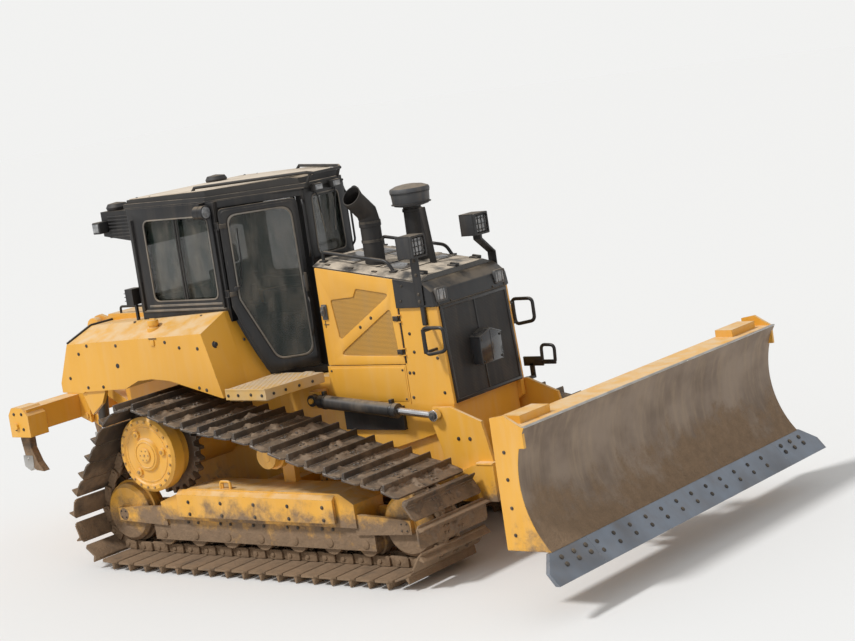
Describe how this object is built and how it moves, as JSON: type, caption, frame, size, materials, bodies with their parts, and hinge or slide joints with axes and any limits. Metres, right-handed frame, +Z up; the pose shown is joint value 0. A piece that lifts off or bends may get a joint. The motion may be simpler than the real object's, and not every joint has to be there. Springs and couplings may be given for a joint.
{
  "type": "crawler bulldozer",
  "caption": "Medium crawler bulldozer with raised drive sprockets, wide shoes, a blade that lifts, angles and tilts, a cab with opening doors, and a parallelogram ripper.",
  "frame": {"origin": "on the ground at the middle of the machine's length and width", "axes": "+X forward to the blade, +Y to the operator's left, +Z up"},
  "size_m": [7.124, 4.16, 3.36],
  "materials": {
    "yellow_paint": "satin, dusty and scuffed",
    "track_steel": "dark brown steel with earth on it and bright worn edges",
    "black_paint": "satin black with dust",
    "dark_plastic": "matte",
    "grey_plastic": "matte with dust",
    "cylinder_paint": "satin black",
    "chromed_rod": "polished",
    "edge_steel": "worn bright by earth",
    "seat_cloth": "woven, padded",
    "window_glass": "tinted, clear",
    "lamp_lens": "clear ribbed lens",
    "engine_iron": "as cast, painted"
  },
  "bodies": {
    "chassis": {"air_precleaner": "grey_plastic", "cab_floor": "dark_plastic", "cab_frame": "black_paint", "cab_glass": "window_glass", "cab_roof": "black_paint", "cylinder_guards": "black_paint", "engine_block": "engine_iron", "equalizer_bar": "yellow_paint", "exhaust_stack": "black_paint", "fender_left": "yellow_paint", "fender_right": "yellow_paint", "final_drives": "yellow_paint", "grab_rails": "black_paint", "head_lamps": "lamp_lens", "hood_nose": "black_paint", "hood_top": "black_paint", "hvac_unit": "black_paint", "idlers": "yellow_paint", "main_frame": "yellow_paint", "pivot_shaft": "yellow_paint", "radiator_grille": "black_paint", "rear_tank": "yellow_paint", "ripper_bracket": "yellow_paint", "roof_domes": "dark_plastic", "seat_base": "dark_plastic", "seat_cushions": "seat_cloth", "side_panels": "yellow_paint", "sprockets": "track_steel", "step_platforms": "yellow_paint", "track_frame_left": "yellow_paint", "track_frame_right": "yellow_paint", "track_left": "track_steel", "track_right": "track_steel", "track_rollers": "yellow_paint", "work_lamps": "black_paint"},
    "push_frame": {"push_frame": "yellow_paint"},
    "lift_barrels": {"lift_barrels": "cylinder_paint"},
    "lift_rods": {"lift_rods": "chromed_rod"},
    "blade_swivel": {"blade_swivel": "yellow_paint"},
    "angle_barrel_left": {"angle_barrel_left": "cylinder_paint"},
    "angle_rod_left": {"angle_rod_left": "chromed_rod"},
    "angle_barrel_right": {"angle_barrel_right": "cylinder_paint"},
    "angle_rod_right": {"angle_rod_right": "chromed_rod"},
    "tilt_barrel": {"tilt_barrel": "cylinder_paint"},
    "tilt_rod": {"tilt_rod": "chromed_rod"},
    "blade": {"blade": "yellow_paint", "cutting_edge": "edge_steel"},
    "ripper_lower_link": {"ripper_lower_link": "yellow_paint"},
    "ripper_upper_link": {"ripper_upper_link": "yellow_paint"},
    "ripper_beam": {"ripper_beam": "yellow_paint", "ripper_shanks": "edge_steel"},
    "ripper_barrels": {"ripper_barrels": "cylinder_paint"},
    "ripper_rods": {"ripper_rods": "chromed_rod"},
    "cab_door_right": {"cab_door_right": "black_paint", "door_glass_right": "window_glass"},
    "cab_door_left": {"cab_door_left": "black_paint", "door_glass_left": "window_glass"},
    "engine_door_right": {"engine_door_right": "yellow_paint"},
    "engine_door_left": {"engine_door_left": "yellow_paint"}
  },
  "joints": [
    {"name": "push_frame_lift", "type": "hinge", "parent": "chassis", "child": "push_frame", "pos_m": [0.11, 0, 0.6], "axis": [0, -1, 0], "range_deg": [-14, 14.5]},
    {"name": "lift_barrel_swing", "type": "hinge", "parent": "chassis", "child": "lift_barrels", "pos_m": [0.06, 0, 1.36], "axis": [0, -1, 0], "range_deg": [-13, 13.5]},
    {"name": "lift_rod_slide", "type": "slide", "parent": "lift_barrels", "child": "lift_rods", "axis": [0.9954, 0, -0.0959], "range_m": [-0.192, 0.186]},
    {"name": "blade_angle", "type": "hinge", "parent": "push_frame", "child": "blade_swivel", "pos_m": [2.25, 0, 0.64], "axis": [0, 0, 1], "range_deg": [-25, 25]},
    {"name": "angle_barrel_left_swing", "type": "hinge", "parent": "push_frame", "child": "angle_barrel_left", "pos_m": [2.045, 0.48, 0.64], "axis": [0, 0, 1], "range_deg": [-17.1, 17.1]},
    {"name": "angle_rod_left_slide", "type": "slide", "parent": "angle_barrel_left", "child": "angle_rod_left", "axis": [0.9898, -0.1423, 0], "range_m": [-0.1955, 0.1955]},
    {"name": "angle_barrel_right_swing", "type": "hinge", "parent": "push_frame", "child": "angle_barrel_right", "pos_m": [2.045, -0.48, 0.64], "axis": [0, 0, 1], "range_deg": [-17.1, 17.1]},
    {"name": "angle_rod_right_slide", "type": "slide", "parent": "angle_barrel_right", "child": "angle_rod_right", "axis": [0.9898, 0.1423, 0], "range_m": [-0.1955, 0.1955]},
    {"name": "blade_tilt", "type": "hinge", "parent": "blade_swivel", "child": "blade", "pos_m": [2.85, 0, 0.64], "axis": [1, 0, 0], "range_deg": [-5.5, 5.5]},
    {"name": "tilt_barrel_swing", "type": "hinge", "parent": "blade_swivel", "child": "tilt_barrel", "pos_m": [2.665, -0.42, 1.12], "axis": [1, 0, 0], "range_deg": [-2.9, 2.9]},
    {"name": "tilt_rod_slide", "type": "slide", "parent": "tilt_barrel", "child": "tilt_rod", "axis": [0, 1, 0], "range_m": [-0.0475, 0.0475]},
    {"name": "ripper_lower", "type": "hinge", "parent": "chassis", "child": "ripper_lower_link", "pos_m": [-2.54, 0, 0.76], "axis": [0, -1, 0], "range_deg": [0, 86]},
    {"name": "ripper_upper_swing", "type": "hinge", "parent": "chassis", "child": "ripper_upper_link", "pos_m": [-2.54, 0, 1.17], "axis": [0, -1, 0], "range_deg": [0, 86.5]},
    {"name": "ripper_beam_swing", "type": "hinge", "parent": "ripper_lower_link", "child": "ripper_beam", "pos_m": [-3.24, 0, 1.15], "axis": [0, 1, 0], "range_deg": [0, 86.5]},
    {"name": "ripper_barrel_swing", "type": "hinge", "parent": "chassis", "child": "ripper_barrels", "pos_m": [-2.8, 0, 2.06], "axis": [0, -1, 0], "range_deg": [0, 7.4]},
    {"name": "ripper_rod_slide", "type": "slide", "parent": "ripper_barrels", "child": "ripper_rods", "axis": [-0.1144, 0, -0.9934], "range_m": [0, 0.578]},
    {"name": "cab_door_right_hinge", "type": "hinge", "parent": "chassis", "child": "cab_door_right", "pos_m": [-0.57, -0.812, 2.4], "axis": [0, 0, -1], "range_deg": [0, 75]},
    {"name": "cab_door_left_hinge", "type": "hinge", "parent": "chassis", "child": "cab_door_left", "pos_m": [-0.57, 0.812, 2.4], "axis": [0, 0, 1], "range_deg": [0, 75]},
    {"name": "engine_door_right_hinge", "type": "hinge", "parent": "chassis", "child": "engine_door_right", "pos_m": [1.072, -0.517, 2.05], "axis": [0, 0, 1], "range_deg": [0, 90]},
    {"name": "engine_door_left_hinge", "type": "hinge", "parent": "chassis", "child": "engine_door_left", "pos_m": [1.072, 0.517, 2.05], "axis": [0, 0, -1], "range_deg": [0, 90]}
  ],
  "couplings": [
    {"joint": "lift_barrel_swing", "follows": "push_frame_lift", "ratio": 0.91203},
    {"joint": "lift_rod_slide", "follows": "push_frame_lift", "m_per_rad": -0.74813},
    {"joint": "angle_barrel_left_swing", "follows": "blade_angle", "ratio": 0.67547},
    {"joint": "angle_rod_left_slide", "follows": "blade_angle", "m_per_rad": -0.44502},
    {"joint": "angle_barrel_right_swing", "follows": "blade_angle", "ratio": 0.67547},
    {"joint": "angle_rod_right_slide", "follows": "blade_angle", "m_per_rad": 0.44502},
    {"joint": "tilt_barrel_swing", "follows": "blade_tilt", "ratio": 0.50587},
    {"joint": "tilt_rod_slide", "follows": "blade_tilt", "m_per_rad": -0.47982},
    {"joint": "ripper_upper_swing", "follows": "ripper_lower", "ratio": 1},
    {"joint": "ripper_beam_swing", "follows": "ripper_lower", "ratio": 1},
    {"joint": "ripper_barrel_swing", "follows": "ripper_lower", "ratio": 0.08403},
    {"joint": "ripper_rod_slide", "follows": "ripper_lower", "m_per_rad": 0.38411}
  ]
}
